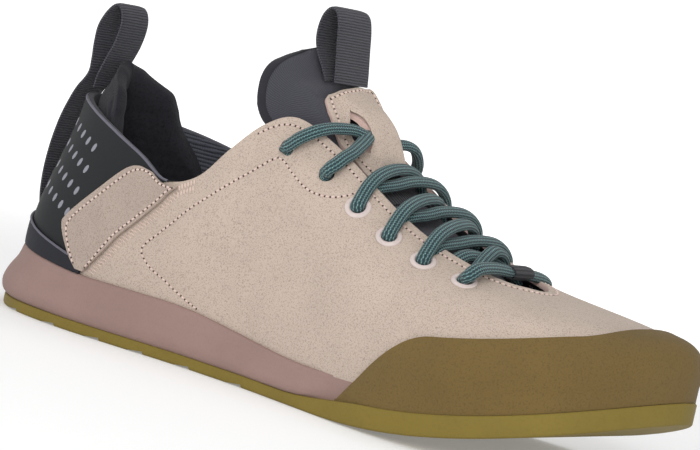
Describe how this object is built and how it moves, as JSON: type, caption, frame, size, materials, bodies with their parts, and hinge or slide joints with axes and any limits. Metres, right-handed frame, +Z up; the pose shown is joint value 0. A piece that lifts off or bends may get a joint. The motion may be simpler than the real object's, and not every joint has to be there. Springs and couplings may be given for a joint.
{
  "type": "approach shoe",
  "caption": "Low approach shoe for the right foot: suede upper open at collar and throat, rubber toe rand, foam and rubber sole, heel sling with a pull loop, tongue loop and crossed lacing.",
  "frame": {"origin": "middle of the shoe's plan, on the floor", "axes": "+X from heel to toe, +Y to the shoe's medial side, +Z up"},
  "size_m": [0.2738, 0.097, 0.1311],
  "materials": {
    "suede": "matte brushed nap",
    "toe_rubber": "matte, fine grain",
    "sole_rubber": "satin",
    "foam": "matte",
    "counter": "satin",
    "padding": "matte, soft",
    "tongue_cloth": "matte twill",
    "webbing": "matte, ribbed",
    "lace": "matte braid",
    "eyelet": "satin",
    "insole_cloth": "matte"
  },
  "bodies": {
    "root": {"outsole": "sole_rubber", "midsole": "foam", "insole": "insole_cloth", "upper": "suede", "toe_rand": "toe_rubber", "heel_counter": "counter", "heel_flap_lateral": "suede", "heel_flap_medial": "suede", "heel_padding": "padding", "tongue": "tongue_cloth", "tongue_keeper": "suede", "heel_strap": "webbing", "tongue_pull_loop": "webbing", "lace_keeper": "webbing", "lace_bar": "lace", "lace_crossing_1": "lace", "lace_crossing_2": "lace", "lace_crossing_3": "lace", "lace_crossing_4": "lace", "lace_crossing_5": "lace", "eyelet_lateral_1": "eyelet", "eyelet_lateral_2": "eyelet", "eyelet_lateral_3": "eyelet", "eyelet_lateral_4": "eyelet", "eyelet_medial_1": "eyelet", "eyelet_medial_2": "eyelet", "eyelet_medial_3": "eyelet", "eyelet_medial_4": "eyelet"}
  },
  "joints": []
}
